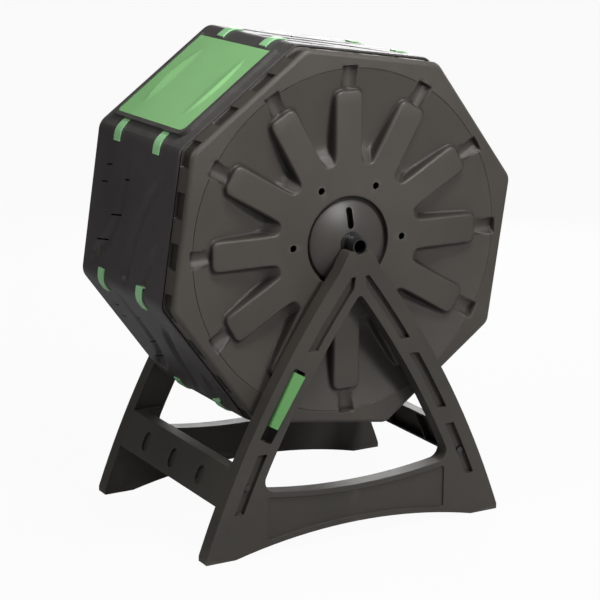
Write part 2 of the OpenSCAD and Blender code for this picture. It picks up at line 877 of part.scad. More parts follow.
module drum_lock() {
  tooth_tip = half_length + tooth_clear;
  color([0.40, 0.72, 0.36]) on_axle() on_lock() difference() {
    union() {
      translate([0, 0, lock_back]) linear_extrude(lock_t) polygon([
        [lock_in_r, -lock_wide / 2],
        [lock_out_r, -lock_narrow / 2],
        [lock_out_r, lock_narrow / 2],
        [lock_in_r, lock_wide / 2]
      ]);
      translate([tooth_place - tooth_l / 2, -tooth_w / 2, tooth_tip])
        cube([tooth_l, tooth_w, lock_back - tooth_tip + 1]);
      translate([lock_pivot_r, 0, lock_pivot_z]) rotate([90, 0, 0])
        cylinder(r = lock_boss_r, h = lock_narrow, center = true);
    }
    translate([lock_pivot_r, 0, lock_pivot_z]) rotate([90, 0, 0])
      cylinder(r = lock_pin_r + running_fit, h = lock_narrow + 2, center = true);
  }
}

module lock_pin() {
  color("silver") on_axle() on_lock() translate([lock_pivot_r, 0, lock_pivot_z])
    rotate([90, 0, 0]) cylinder(r = lock_pin_r, h = lock_pin_l, center = true);
}

front_stand();
rear_stand();
left_brace();
right_brace();
brace_bolts();
brace_nuts();
lock_pin();
drum_lock();
front_end_panel();
rear_end_panel();
side_panel(0);  // side_panel_1
side_panel(1);  // side_panel_2
side_panel(2);  // side_panel_3
side_panel(3);  // side_panel_4
side_panel(4);  // side_panel_5
side_panel(5);  // side_panel_6
side_panel(6);  // side_panel_7
door_frame();
door();
clip_pair(0);  // clip_pair_1
clip_pair(1);  // clip_pair_2
clip_pair(2);  // clip_pair_3
clip_pair(3);  // clip_pair_4
clip_pair(4);  // clip_pair_5
clip_pair(5);  // clip_pair_6
clip_pair(6);  // clip_pair_7
clip_pair(7);  // clip_pair_8
axle_tube();
front_hub();
rear_hub();
front_hub_screws();
rear_hub_screws();
front_washer();
rear_washer();
axle_pins();
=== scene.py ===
from math import asin, atan2, copysign, cos, hypot, pi, radians, sin, sqrt, tan

import bmesh
import bpy
from mathutils import Matrix, Vector


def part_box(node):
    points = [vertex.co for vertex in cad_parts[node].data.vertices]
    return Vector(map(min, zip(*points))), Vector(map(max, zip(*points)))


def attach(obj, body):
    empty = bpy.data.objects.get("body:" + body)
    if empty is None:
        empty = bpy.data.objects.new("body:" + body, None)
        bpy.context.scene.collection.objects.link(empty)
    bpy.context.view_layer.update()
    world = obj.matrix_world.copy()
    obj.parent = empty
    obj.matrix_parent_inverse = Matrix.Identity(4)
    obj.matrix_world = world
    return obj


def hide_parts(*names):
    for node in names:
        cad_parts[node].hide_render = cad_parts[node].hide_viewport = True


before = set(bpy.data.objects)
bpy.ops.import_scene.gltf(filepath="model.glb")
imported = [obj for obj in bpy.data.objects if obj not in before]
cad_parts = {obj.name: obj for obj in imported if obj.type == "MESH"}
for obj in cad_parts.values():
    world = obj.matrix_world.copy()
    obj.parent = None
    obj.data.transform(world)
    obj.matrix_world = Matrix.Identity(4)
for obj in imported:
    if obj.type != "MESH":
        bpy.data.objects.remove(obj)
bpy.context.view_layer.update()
scene = bpy.context.scene


# Camera and studio.
# A white sweep with soft lights in front, above and at the left, which show the dark
# plastic's rounded edges, and two more behind and at the right for the far sides.
drum_middle = (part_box("axle_tube")[0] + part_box("axle_tube")[1]) / 2
axle_height = drum_middle.z


def make_camera():
    turn, tilt, roll = radians(29.89), radians(14.14), radians(0.38)
    distance, lens, aim_height, aim_side = 4.030, 122.9, 0.4142, 0.0064
    right = Vector((cos(turn), -sin(turn), 0))
    up = Vector((sin(turn) * sin(tilt), cos(turn) * sin(tilt), cos(tilt)))
    away = Vector((sin(turn) * cos(tilt), cos(turn) * cos(tilt), -sin(tilt)))
    across = cos(roll) * right + sin(roll) * up
    above = cos(roll) * up - sin(roll) * right
    place = Vector((0, 0, aim_height)) + right * aim_side - away * distance
    data = bpy.data.cameras.new("camera")
    data.lens = lens
    data.clip_end = 60
    camera = bpy.data.objects.new("camera", data)
    scene.collection.objects.link(camera)
    camera.matrix_world = Matrix.Translation(place) @ Matrix((across, above, -away)).transposed().to_4x4()
    scene.camera = camera


def soft_light(name, place, aim, size, power):
    data = bpy.data.lights.new(name, "AREA")
    data.shape = "RECTANGLE"
    data.size, data.size_y = size
    data.energy = power
    light = bpy.data.objects.new(name, data)
    scene.collection.objects.link(light)
    turned = (Vector(aim) - Vector(place)).to_track_quat("-Z", "Y")
    light.matrix_world = Matrix.Translation(place) @ turned.to_matrix().to_4x4()


def white_surroundings(strength):
    world = bpy.data.worlds.new("studio")
    scene.world = world
    world.use_nodes = True
    nodes, links = world.node_tree.nodes, world.node_tree.links
    nodes.clear()
    path = nodes.new("ShaderNodeLightPath")
    lit = nodes.new("ShaderNodeBackground")
    seen = nodes.new("ShaderNodeBackground")
    lit.inputs["Color"].default_value = (1, 1, 1, 1)
    lit.inputs["Strength"].default_value = strength
    seen.inputs["Color"].default_value = (1, 1, 1, 1)
    mix = nodes.new("ShaderNodeMixShader")
    out = nodes.new("ShaderNodeOutputWorld")
    links.new(path.outputs["Is Camera Ray"], mix.inputs["Fac"])
    links.new(lit.outputs["Background"], mix.inputs[1])
    links.new(seen.outputs["Background"], mix.inputs[2])
    links.new(mix.outputs["Shader"], out.inputs["Surface"])


def make_floor():
    bm = bmesh.new()
    bmesh.ops.create_grid(bm, x_segments=1, y_segments=1, size=14)
    mesh = bpy.data.meshes.new("floor")
    bm.to_mesh(mesh)
    bm.free()
    floor = bpy.data.objects.new("floor", mesh)
    scene.collection.objects.link(floor)
    paint = bpy.data.materials.new("white_floor")
    paint.use_nodes = True
    nodes, links = paint.node_tree.nodes, paint.node_tree.links
    shader = nodes["Principled BSDF"]
    shader.inputs["Base Color"].default_value = (0.5, 0.5, 0.5, 1)
    shader.inputs["Roughness"].default_value = 0.9
    shader.inputs["Specular IOR Level"].default_value = 0.1
    # Seen by the camera the floor is mostly its own white, so that it stays pale to its far edge
    path = nodes.new("ShaderNodeLightPath")
    share = nodes.new("ShaderNodeMath")
    share.operation = "MULTIPLY"
    share.inputs[1].default_value = 0.95
    glow = nodes.new("ShaderNodeEmission")
    glow.inputs["Color"].default_value = (1, 1, 1, 1)
    mix = nodes.new("ShaderNodeMixShader")
    links.new(path.outputs["Is Camera Ray"], share.inputs[0])
    links.new(share.outputs["Value"], mix.inputs["Fac"])
    links.new(shader.outputs["BSDF"], mix.inputs[1])
    links.new(glow.outputs["Emission"], mix.inputs[2])
    links.new(mix.outputs["Shader"], nodes["Material Output"].inputs["Surface"])
    mesh.materials.append(paint)


make_camera()
make_floor()
white_surroundings(0.05)
soft_light("front", (0.7, -2.5, 1.75), (0, 0, 0.55), (0.7, 0.5), 36)
soft_light("above", (0.0, -0.9, 2.1), (0, 0, 0.7), (0.8, 0.5), 18)
soft_light("left", (-2.4, -0.3, 2.6), (0, 0, 0.75), (0.9, 0.9), 26)
soft_light("behind", (1.6, 2.2, 1.0), (0, 0, 0.55), (1.2, 1.2), 30)
soft_light("right", (2.7, 0.4, 1.9), (0, 0, 0.6), (1.2, 1.2), 22)
scene.view_settings.view_transform = "Standard"


# Moulded plastic.
# Nearly every piece is polypropylene out of a finely eroded mould: a satin skin with a
# faint grain, slow changes of tone, and edges rubbed a little lighter.
def node_group(name, inputs, outputs):
    group = bpy.data.node_groups.new(name, "ShaderNodeTree")
    for label, kind, value in inputs:
        socket = group.interface.new_socket(label, in_out="INPUT", socket_type=kind)
        if value is not None:
            socket.default_value = value
    for label, kind in outputs:
        group.interface.new_socket(label, in_out="OUTPUT", socket_type=kind)
    return group, group.nodes.new("NodeGroupInput"), group.nodes.new("NodeGroupOutput")


def mould_skin_group():
    group, start, end = node_group(
        "mould_skin",
        [("Place", "NodeSocketVector", None), ("Grain Scale", "NodeSocketFloat", 900.0)],
        [("Tone", "NodeSocketFloat"), ("Sheen Patch", "NodeSocketFloat"), ("Height", "NodeSocketFloat")])
    nodes, links = group.nodes, group.links

    def noise(scale, detail, rough):
        node = nodes.new("ShaderNodeTexNoise")
        node.inputs["Detail"].default_value = detail
        node.inputs["Roughness"].default_value = rough
        if scale:
            node.inputs["Scale"].default_value = scale
        links.new(start.outputs["Place"], node.inputs["Vector"])
        return node

    links.new(noise(5, 3, 0.5).outputs["Fac"], end.inputs["Tone"])
    links.new(noise(22, 4, 0.6).outputs["Fac"], end.inputs["Sheen Patch"])
    grain = noise(None, 2, 0.6)
    links.new(start.outputs["Grain Scale"], grain.inputs["Scale"])
    ripple = noise(60, 2, 0.4)
    height = nodes.new("ShaderNodeMath")
    height.operation = "MULTIPLY_ADD"
    height.inputs[1].default_value = 0.8
    links.new(ripple.outputs["Fac"], height.inputs[0])
    links.new(grain.outputs["Fac"], height.inputs[2])
    links.new(height.outputs["Value"], end.inputs["Height"])
    return group


def rubbed_edge_group():
    group, start, end = node_group(
        "rubbed_edge",
        [("Place", "NodeSocketVector", None), ("From", "NodeSocketFloat", 0.52),
         ("To", "NodeSocketFloat", 0.62)],
        [("Mask", "NodeSocketFloat")])
    nodes, links = group.nodes, group.links
    shape = nodes.new("ShaderNodeNewGeometry")
    edge = nodes.new("ShaderNodeMapRange")
    links.new(shape.outputs["Pointiness"], edge.inputs["Value"])
    links.new(start.outputs["From"], edge.inputs["From Min"])
    links.new(start.outputs["To"], edge.inputs["From Max"])
    break_up = nodes.new("ShaderNodeTexNoise")
    break_up.inputs["Scale"].default_value = 45
    break_up.inputs["Detail"].default_value = 3
    links.new(start.outputs["Place"], break_up.inputs["Vector"])
    patchy = nodes.new("ShaderNodeMath")
    patchy.operation = "MULTIPLY"
    links.new(edge.outputs["Result"], patchy.inputs[0])
    links.new(break_up.outputs["Fac"], patchy.inputs[1])
    links.new(patchy.outputs["Value"], end.inputs["Mask"])
    return group


mould_skin = mould_skin_group()
rubbed_edge = rubbed_edge_group()


def moulded_plastic(name, dark, light, rubbed, rough=(0.42, 0.56), grain=900, bump=0.12):
    finish = bpy.data.materials.new(name)
    finish.use_nodes = True
    nodes, links = finish.node_tree.nodes, finish.node_tree.links
    shader = nodes["Principled BSDF"]
    place = nodes.new("ShaderNodeTexCoord")
    skin = nodes.new("ShaderNodeGroup")
    skin.node_tree = mould_skin
    skin.inputs["Grain Scale"].default_value = grain
    links.new(place.outputs["Object"], skin.inputs["Place"])
    edges = nodes.new("ShaderNodeGroup")
    edges.node_tree = rubbed_edge
    links.new(place.outputs["Object"], edges.inputs["Place"])
    tone = nodes.new("ShaderNodeValToRGB")
    tone.color_ramp.elements[0].position, tone.color_ramp.elements[1].position = 0.36, 0.64
    tone.color_ramp.elements[0].color = (*dark, 1)
    tone.color_ramp.elements[1].color = (*light, 1)
    links.new(skin.outputs["Tone"], tone.inputs["Fac"])
    colour = nodes.new("ShaderNodeMix")
    colour.data_type = "RGBA"
    colour.inputs["B"].default_value = (*rubbed, 1)
    links.new(edges.outputs["Mask"], colour.inputs["Factor"])
    links.new(tone.outputs["Color"], colour.inputs["A"])
    # Painted shade: sunk pockets, grooves and the walls' feet are darkened towards half the dark tone; a
    # piece marks them with its "recess" attribute
    sunk = nodes.new("ShaderNodeAttribute")
    sunk.attribute_name = "recess"
    deep = nodes.new("ShaderNodeMix")
    deep.data_type = "RGBA"
    deep.inputs["B"].default_value = (*(0.5 * c for c in dark), 1)
    links.new(sunk.outputs["Fac"], deep.inputs["Factor"])
    links.new(colour.outputs["Result"], deep.inputs["A"])
    links.new(deep.outputs["Result"], shader.inputs["Base Color"])
    sheen = nodes.new("ShaderNodeMapRange")
    sheen.inputs["To Min"].default_value, sheen.inputs["To Max"].default_value = rough
    links.new(skin.outputs["Sheen Patch"], sheen.inputs["Value"])
    links.new(sheen.outputs["Result"], shader.inputs["Roughness"])
    relief = nodes.new("ShaderNodeBump")
    relief.inputs["Strength"].default_value = bump
    relief.inputs["Distance"].default_value = 0.0004
    links.new(skin.outputs["Height"], relief.inputs["Height"])
    links.new(relief.outputs["Normal"], shader.inputs["Normal"])
    return finish


stand_plastic = moulded_plastic(
    "stand_plastic", (0.047, 0.042, 0.035), (0.058, 0.052, 0.043), (0.115, 0.106, 0.092))


# Front and rear stands.
# Each is one moulded A-frame, 32 mm thick, with bowed legs, a cross beam arched
# underneath, and a half-round seat at the top that carries the axle.
foot_half, shoulder_half, leg_bow, leg_width = 0.325, 0.042, 0.023, 0.062
shoulder_z, foot_z = axle_height - 0.041, 0.010
arch_rise, foot_flat, beam_top, beam_dip = 0.031, 0.062, 0.106, 0.018
stand_front, stand_back = 0.239, 0.207
saddle_half, saddle_top, axle_seat = 0.026, axle_height - 0.008, 0.01506
chord = hypot(foot_half - shoulder_half, shoulder_z - foot_z)
leg_radius = chord**2 / (8 * leg_bow) + leg_bow / 2
leg_back_off = leg_radius - leg_bow
leg_cx = (foot_half + shoulder_half) / 2 - leg_back_off * (shoulder_z - foot_z) / chord
leg_cz = (shoulder_z + foot_z) / 2 - leg_back_off * (foot_half - shoulder_half) / chord
arch_half = foot_half - foot_flat
arch_radius = (arch_half**2 + arch_rise**2) / (2 * arch_rise)
beam_half = 0.205
beam_radius = (beam_half**2 + beam_dip**2) / (2 * beam_dip)


def leg_line(z, inset):
    return leg_cx + sqrt((leg_radius - inset) ** 2 - (z - leg_cz) ** 2)


def arch_line(x, lift=0.0):
    return arch_rise + lift - arch_radius + sqrt(arch_radius**2 - x * x)


def beam_line(x, drop=0.0):
    return beam_top - drop + beam_radius - sqrt(beam_radius**2 - x * x)


def steps(low, high, count):
    return [low + (high - low) * i / count for i in range(count + 1)]


def round_corners(corners, segments=5):
    """An outline whose corners, given as (x, z, radius), are turned into arcs."""
    outline = []
    for i, (x, z, radius) in enumerate(corners):
        here = Vector((x, z))
        if not radius:
            outline.append((x, z))
            continue
        before = (Vector(corners[i - 1][:2]) - here).normalized()
        after = (Vector(corners[(i + 1) % len(corners)][:2]) - here).normalized()
        half = before.angle(after) / 2
        start, end = here + before * radius / tan(half), here + after * radius / tan(half)
        centre = here + (before + after).normalized() * radius / sin(half)
        a, b = start - centre, end - centre
        sweep = a.angle_signed(b)
        for k in range(segments + 1):
            turn = -sweep * k / segments
            arm = Vector((a.x * cos(turn) - a.y * sin(turn), a.x * sin(turn) + a.y * cos(turn)))
            outline.append(tuple(centre + arm))
    return outline


def prism(bm, outline, near, far):
    """Adds a solid between two depths along the axle, its outline in the X-Z plane."""
    face = bm.faces.new([bm.verts.new((x, near, z)) for x, z in outline])
    grown = bmesh.ops.extrude_face_region(bm, geom=[face])["geom"]
    moved = [v for v in grown if isinstance(v, bmesh.types.BMVert)]
    bmesh.ops.translate(bm, vec=(0, far - near, 0), verts=moved)
    bmesh.ops.recalc_face_normals(bm, faces=bm.faces)


def carve(bm, cutter):
    """Cuts one closed shape out of another and returns what is left of it."""
    pair = []
    for label, shape in (("blank", bm), ("cutter", cutter)):
        mesh = bpy.data.meshes.new(label)
        shape.to_mesh(mesh)
        shape.free()
        pair.append(bpy.data.objects.new(label, mesh))
        scene.collection.objects.link(pair[-1])
    cut = pair[0].modifiers.new("carve", "BOOLEAN")
    cut.operation, cut.solver, cut.object = "DIFFERENCE", "EXACT", pair[1]
    cut.use_self = True
    view = bpy.context.evaluated_depsgraph_get()
    left = bpy.data.meshes.new_from_object(pair[0].evaluated_get(view))
    result = bmesh.new()
    result.from_mesh(left)
    for thing in pair:
        bpy.data.objects.remove(thing)
    return result


def soften(bm, width, segments=3, sharp=32):
    """Rounds every edge sharper than the given angle, as a mould leaves it."""
    bmesh.ops.remove_doubles(bm, verts=bm.verts, dist=2e-5)
    bmesh.ops.dissolve_limit(bm, angle_limit=radians(0.4), verts=bm.verts, edges=bm.edges)
    crisp = [e for e in bm.edges if len(e.link_faces) == 2 and e.calc_face_angle() > radians(sharp)]
    bmesh.ops.bevel(bm, geom=crisp, offset=width, offset_type="OFFSET", segments=segments,
                    profile=0.5, affect="EDGES", clamp_overlap=True, material=-1)


def keep_piece(name, bm, finish, body, nodes, crisp=40):
    mesh = bpy.data.meshes.new(name)
    bm.to_mesh(mesh)
    bm.free()
    mesh.shade_smooth()
    mesh.set_sharp_from_angle(angle=radians(crisp))
    mesh.materials.append(finish)
    piece = bpy.data.objects.new(name, mesh)
    scene.collection.objects.link(piece)
    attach(piece, body)
    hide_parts(*nodes)
    return piece


def weigh_normals(piece):
    even = piece.modifiers.new("even", "WEIGHTED_NORMAL")
    even.keep_sharp = True


def stand_outline():
    right = [(x, arch_line(x)) for x in steps(0, arch_half, 10)]
    right.append((foot_half, 0))
    right += [(leg_line(z, 0), z) for z in steps(foot_z, shoulder_z, 18)]
    right += [(saddle_half + 0.006, saddle_top - 0.013), (saddle_half, saddle_top - 0.004)]
    right.append((saddle_half - 0.003, saddle_top))
    seat_edge = asin((axle_height - saddle_top) / axle_seat)
    right += [(axle_seat * cos(a), axle_height - axle_seat * sin(a)) for a in steps(seat_edge, pi / 2, 12)]
    return right + [(-x, z) for x, z in reversed(right[1:-1])]


def leg_window():
    x = 0.2
    for _ in range(20):
        x = leg_line(beam_line(x), leg_width)
    low = beam_line(x)
    high = low
    while leg_line(high, leg_width) > 0.0004:
        high += 0.0005
    base = [(t, beam_line(t), 0) for t in steps(-0.8 * x, 0.8 * x, 10)]
    rise = [(leg_line(z, leg_width), z, 0) for z in steps(low + 0.05, high - 0.02, 12)]
    corners = base + [(x, low, 0.022)] + rise + [(0, high, 0.008)]
    corners += [(-t, z, 0) for t, z, _ in reversed(rise)] + [(-x, low, 0.022)]
    return round_corners(corners, 7)


def leg_pocket(low, high, side):
    inset, width, web = 0.027, 0.018, 0.0105
    outer = [(leg_line(z, inset), z, 0) for z in steps(low, high, 6)]
    inner = [(max(web, leg_line(z, inset + width)), z, 0) for z in steps(high, low, 6)]
    corners = outer + inner
    for i in (0, len(outer) - 1, len(outer), len(corners) - 1):
        corners[i] = (*corners[i][:2], 0.0018)
    outline = round_corners(corners, 3)
    return [(side * x, z) for x, z in outline]


def make_stand(name, back, has_lock):
    face, rear = -stand_front, -stand_back
    blank = bmesh.new()
    prism(blank, stand_outline(), rear, face)
    cutter = bmesh.new()
    prism(cutter, leg_window(), rear + 0.01, face - 0.01)
    heights = ((0.086, 0.196), (0.230, 0.349), (0.380, 0.512))
    for side in (1, -1):
        for i, (low, high) in enumerate(heights):
            if not (has_lock and side < 0 and i == 1):
                prism(cutter, leg_pocket(low, high, side), face + 0.010, face - 0.01)
    field, border = 0.197, 0.011
    under = [(x, arch_line(x, border), 0) for x in steps(-field, field, 16)]
    over = [(x, beam_line(x, border), 0) for x in steps(field, -field, 16)]
    corners = under + over
    for i in (0, len(under) - 1, len(under), len(corners) - 1):
        corners[i] = (*corners[i][:2], 0.006)
    prism(cutter, round_corners(corners, 4), face + 0.004, face - 0.01)
    if has_lock:
        slot_in, slot_out, half = 0.255, 0.402, 0.0135
        along = Vector((-sin(radians(30)), -cos(radians(30))))
        over = Vector((along.y, -along.x))
        middle = Vector((0, axle_height))
        ends = [(slot_in, -half), (slot_out, -half), (slot_out, half), (slot_in, half)]
        slot = [(*(middle + along * r + over * s), 0.004) for r, s in ends]
        prism(cutter, round_corners(slot, 4), rear + 0.01, face - 0.01)
    stand = carve(blank, cutter)
    if back:
        bmesh.ops.rotate(stand, cent=(0, 0, 0), matrix=Matrix.Rotation(pi, 3, "Z"), verts=stand.verts)
    soften(stand, 0.0026, 3)
    weigh_normals(keep_piece(name, stand, stand_plastic, "stand", [name.replace("_frame", "")]))


make_stand("front_stand_frame", False, True)
make_stand("rear_stand_frame", True, False)


# Braces, their bolts and nuts.
# A moulded channel with three oval recesses joins the legs on each side. Zinc-plated
# bolts through the legs' pockets hold it, with a nut behind each flange.
def softened_copy(node, name, width, finish, body, sharp=32):
    """A CAD node's own shape with its edges rounded, as a mould leaves them."""
    bm = bmesh.new()
    bm.from_mesh(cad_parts[node].data)
    soften(bm, width, 3, sharp)
    piece = keep_piece(name, bm, finish, body, [node])
    weigh_normals(piece)
    return piece


softened_copy("left_brace", "left_brace_channel", 0.0022, stand_plastic, "stand")
softened_copy("right_brace", "right_brace_channel", 0.0022, stand_plastic, "stand")


def plated_steel(name, tint, rough, spots):
    finish = bpy.data.materials.new(name)
    finish.use_nodes = True
    nodes, links = finish.node_tree.nodes, finish.node_tree.links
    shader = nodes["Principled BSDF"]
    shader.inputs["Metallic"].default_value = 1.0
    place = nodes.new("ShaderNodeTexCoord")
    skin = nodes.new("ShaderNodeGroup")
    skin.node_tree = mould_skin
    skin.inputs["Grain Scale"].default_value = 400
    links.new(place.outputs["Object"], skin.inputs["Place"])
    tone = nodes.new("ShaderNodeValToRGB")
    tone.color_ramp.elements[0].position, tone.color_ramp.elements[1].position = 0.3, 0.7
    tone.color_ramp.elements[0].color = (*(c * (1 - spots) for c in tint), 1)
    tone.color_ramp.elements[1].color = (*tint, 1)
    links.new(skin.outputs["Sheen Patch"], tone.inputs["Fac"])
    links.new(tone.outputs["Color"], shader.inputs["Base Color"])
    sheen = nodes.new("ShaderNodeMapRange")
    sheen.inputs["To Min"].default_value, sheen.inputs["To Max"].default_value = rough
    links.new(skin.outputs["Height"], sheen.inputs["Value"])
    links.new(sheen.outputs["Result"], shader.inputs["Roughness"])
    return finish


dull_zinc = plated_steel("dull_zinc", (0.13, 0.13, 0.13), (0.24, 0.40), 0.35)


def refinish(node, finish):
    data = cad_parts[node].data
    data.materials.clear()
    data.materials.append(finish)


for node in ("brace_bolts", "brace_nuts", "lock_pin"):
    refinish(node, dull_zinc)


# Drum lock.
# A green nylon lever on a steel pin in the left front leg. Pushed in at its upper
# end, it drops a tooth into one of the end panel's notches.
lock_nylon = moulded_plastic(
    "lock_nylon", (0.115, 0.34, 0.095), (0.14, 0.39, 0.12), (0.25, 0.50, 0.22), (0.34, 0.46), 1100, 0.06)
softened_copy("drum_lock", "drum_lock_lever", 0.0016, lock_nylon, "lock")


# End panels.
# Each end is one moulding: a flat face with twelve raised spokes between dished
# hollows, a notch at each spoke's tip, and a rim with shallow pockets all round.
panel_plastic = moulded_plastic(
    "panel_plastic", (0.061, 0.054, 0.046), (0.074, 0.066, 0.056), (0.135, 0.125, 0.11))
half_length = -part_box("front_end_panel")[0].y
drum_turn = radians(8.4)
sides, spokes = 8, 12
side_step = 2 * pi / sides
apothem, edge_radius = 0.350, 0.026
spoke_half, spoke_tip, spoke_corner, root_fillet = 0.029, 0.285, 0.014, 0.013
half_sector = pi / spokes
root_place = (spoke_half + root_fillet) / sin(half_sector)
hollow_depth, hollow_low, hollow_rim = 0.025, 0.180, 0.326
notch_out, notch_radius, notch_depth = 0.331, 0.017, 0.012


def smooth(low, high, value):
    t = min(1.0, max(0.0, (value - low) / (high - low)))
    return t * t * (3 - 2 * t)


def spoke_outline(angle, grow):
    """How far out the hub-and-spoke outline lies on a ray at an angle from a spoke's middle."""
    half, tip, corner = spoke_half + grow, spoke_tip + grow, spoke_corner + grow
    if tip * tan(angle) <= half - corner:
        return tip / cos(angle)
    along, across = tip - corner, half - corner
    reach, beta = hypot(along, across), angle - atan2(across, along)
    inside = corner**2 - (reach * sin(beta)) ** 2
    if inside >= 0:
        far = reach * cos(beta) + sqrt(inside)
        if far * cos(angle) >= along:
            return far
    beta = half_sector - angle
    if angle >= atan2(half, root_place * cos(half_sector)):
        fillet = max(0, (root_fillet - grow) ** 2 - (root_place * sin(beta)) ** 2)
        return root_place * cos(beta) - sqrt(fillet)
    return half / sin(angle)


def hollow_floor(r):
    ramp = hollow_depth * smooth(0.146, hollow_low, r)
    out = min(1.0, max(0.0, (r - 0.188) / (hollow_rim - 0.188)))
    return min(ramp, hollow_depth * (1 - out**1.5))


def notch_floor(r, angle):
    aside = abs(r * sin(angle))
    if aside >= notch_radius or r < spoke_tip - 0.004:
        return 0.0
    scoop = sqrt(notch_radius**2 - aside**2) - (notch_radius - notch_depth)
    return max(0.0, scoop) * (1 - smooth(notch_out - 0.0012, notch_out + 0.0012, r))


def spoke_columns():
    """The columns' angles from 12 o'clock all round, closer together at the spokes' corners."""
    half = [0, 0.7, 1.4, 2.05, 2.6, 3.01, 3.6, 4.3, 5.0, 5.6, 6.11, 6.53, 7.09, 7.75, 8.55,
            9.38, 10.12, 10.48, 11.2, 12.1, 13, 14, 15]
    sector = [-a for a in reversed(half[1:])] + half[:-1]
    return [radians(30 * k + a) for k in range(spokes) for a in sector]


corner_along = (apothem - edge_radius) * tan(side_step / 2)


def rim_columns():
    """The columns' places on one side of the rim, in order: (out, along, is in a pocket)."""
    straight = [5, 10, 14, 18.5, 22, 23.5, 28, 34, 40, 46.5, 53, 59, 65, 69.5, 71, 76, 82, 88,
                94, 100, 106, 111, 115, 116.5, 120, 125, 130, 134.2]
    places = [(apothem, t / 1000, 23 < t < 70 or t > 116) for t in straight]
    for turn in steps(0, side_step / 2, 5)[1:]:
        out = apothem - edge_radius + edge_radius * cos(turn)
        places.append((out, corner_along + edge_radius * sin(turn), True))
    return [(x, -y, p) for x, y, p in reversed(places)] + [(apothem, 0, False)] + places[:-1]


def shaped_grid(columns, rows, place):
    """A grid whose points are moved to where place(column, row) says, and those points."""
    bm = bmesh.new()
    # A "recess" layer for painted shade, left at nought unless a piece fills it
    bm.verts.layers.float.new("recess")
    bmesh.ops.create_grid(bm, x_segments=columns - 1, y_segments=rows - 1, size=0.5)
    spots = {}
    for v in bm.verts:
        i, j = round((v.co.x + 0.5) * (columns - 1)), round((v.co.y + 0.5) * (rows - 1))
        spots[i, j] = v
    for (i, j), v in spots.items():
        v.co = place(i, j)
    return bm, spots


# The panel's section between the middle and the spokes' roots, as (radius, depth) in mm
hub_rings = [(22, 12), (50, 12), (82, 12), (85.5, 11.7), (86.8, 10.4), (87.2, 8), (87.4, 2.4), (88, 0.8),
             (89.2, 0.1), (90.6, 0), (96, 0), (104, 0), (111.8, 0), (113.6, 0), (115.6, 0), (118, 0),
             (120.4, 0), (122.4, 0), (124.2, 0), (128, 0), (132, 0)]
# The spokes' side wall, as (distance outside the outline in mm, share of the hollow's depth)
wall_rings = [(-2.6, 0.03), (-1.3, 0.10), (-0.4, 0.22), (0.1, 0.38), (0.6, 0.60), (1.3, 0.80), (2.4, 0.92),
              (4.2, 0.985), (7, 1.0)]
# The thin groove round the hollows, as (radius, depth) in mm
seam_rings = [(325.3, 0.2), (326.0, 1.3), (326.7, 0.2), (327.5, 0), (329.6, 0), (330.6, 0),
              (331.6, 0), (332.6, 0)]
# The rim's wall behind the rounded edge, as (depth in mm, whether a pocket sinks it there)
rim_rings = [(8, 0), (9, 0), (10.2, 1), (18, 1), (27, 1), (35, 1), (39, 1), (40.2, 0), (50, 0), (60, 0)]
edge_round, pocket_sink = 0.008, 0.006


def face_section(angle):
    """The face's section on one ray, out to just beyond the seam, as (radius, depth)."""
    off = abs((angle + half_sector) % (2 * half_sector) - half_sector)
    section = [(r / 1000, depth / 1000) for r, depth in hub_rings]
    top = spoke_outline(off, -0.004)
    section += [(0.132 + (top - 0.132) * part, 0) for part in (0.15, 0.35, 0.6, 0.85, 1.0)]
    for grow, part in wall_rings:
        r = spoke_outline(off, grow / 1000)
        section.append((r, part * max(hollow_floor(r), notch_floor(r, off))))
    start = section[-1][0]
    for part in (0.04, 0.09, 0.15, 0.22, 0.32, 0.45, 0.6, 0.78, 0.9, 1.0):
        r = start + (0.3245 - start) * part
        section.append((r, max(hollow_floor(r), notch_floor(r, off))))
    return section + [(r / 1000, max(depth / 1000, notch_floor(r / 1000, off))) for r, depth in seam_rings]


def recess_shade(angle):
    """How much painted shade darkens the skin along the same section: most in the grooves and at the walls'
    feet.
    """
    off = abs((angle + half_sector) % (2 * half_sector) - half_sector)
    section = face_section(angle)
    shade = [1.0 if depth > 0.002 else 0.0 for _, depth in section[:len(hub_rings)]] + [0.0] * 5
    for (grow, part), (r, depth) in zip(wall_rings, section[len(shade):]):
        shade.append(min(1.0, depth / 0.010) * (0.9 if 0.1 < part < 1 else 0.45))
    for r, depth in section[len(shade):]:
        aside = abs(r * sin(off))
        in_notch = notch_floor(r, off) > 0.0005
        shade.append((0.9 if aside > 0.0115 or r > 0.322 else 0.0) if in_notch else 0.0)
    groove = len(section) - len(seam_rings) + 1
    shade[groove] = 1.0
    return shade


